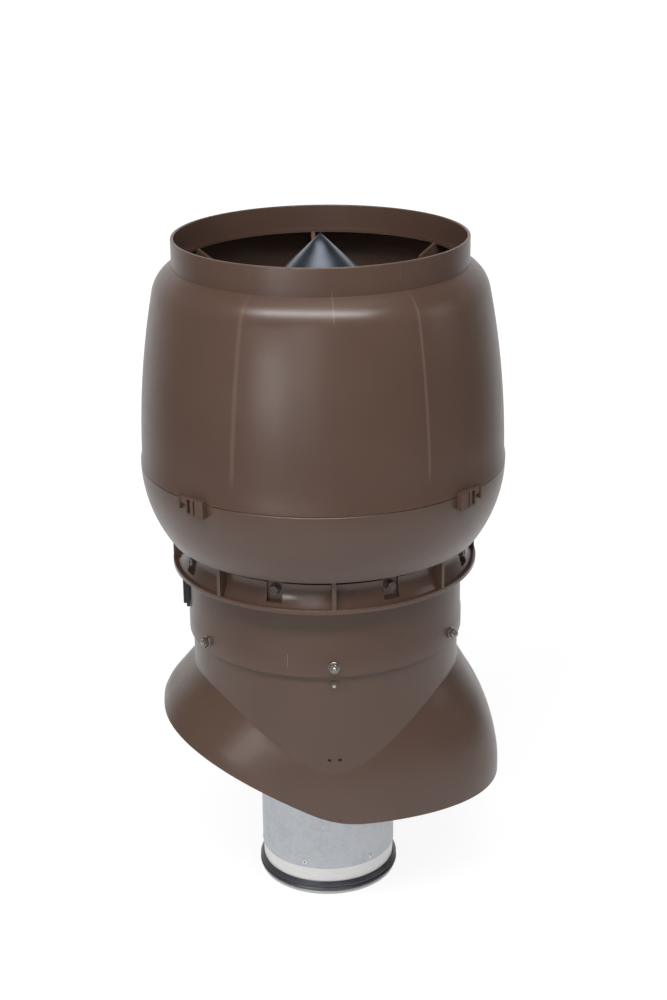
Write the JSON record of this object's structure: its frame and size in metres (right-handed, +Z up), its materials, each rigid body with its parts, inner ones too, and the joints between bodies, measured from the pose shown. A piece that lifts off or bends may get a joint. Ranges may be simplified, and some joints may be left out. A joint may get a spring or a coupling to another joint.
{
  "type": "roof ventilation pipe",
  "caption": "Insulated roof ventilation pipe: round steel duct in a plastic jacket, saddle-shaped roof skirt below and a drained rain hood with an open collar above.",
  "frame": {"origin": "centre of the duct's open lower end, in the plane of its rim", "axes": "+Z up along the pipe's axis, -Y towards the front with the two small holes, +X towards the downhill side of the roof"},
  "size_m": [0.4126, 0.4126, 0.784],
  "materials": {
    "brown_plastic": "satin",
    "black_plastic": "satin",
    "galvanised_sheet": "spangled",
    "steel_fasteners": "satin",
    "seal_rubber": "satin",
    "mineral_wool": "matte"
  },
  "bodies": {
    "root": {"duct_pipe": "galvanised_sheet", "duct_coupling": "galvanised_sheet", "duct_seal": "seal_rubber", "coupling_rivets": "steel_fasteners", "casing_end_plate": "galvanised_sheet", "casing_pipe": "galvanised_sheet", "insulation_wool": "mineral_wool", "casing_top_cap": "black_plastic", "jacket_pipe": "brown_plastic", "cable_entry_plug": "black_plastic", "skirt": "brown_plastic", "skirt_bolts": "steel_fasteners", "skirt_washers": "steel_fasteners", "skirt_nuts": "steel_fasteners", "hood_base_ring": "brown_plastic", "ring_washers": "steel_fasteners", "ring_screws": "steel_fasteners", "hood_bowl": "brown_plastic", "hood_bell": "brown_plastic", "hood_clips": "brown_plastic", "deflector_tray": "galvanised_sheet", "deflector_cone": "galvanised_sheet", "deflector_screws": "steel_fasteners"}
  },
  "joints": []
}
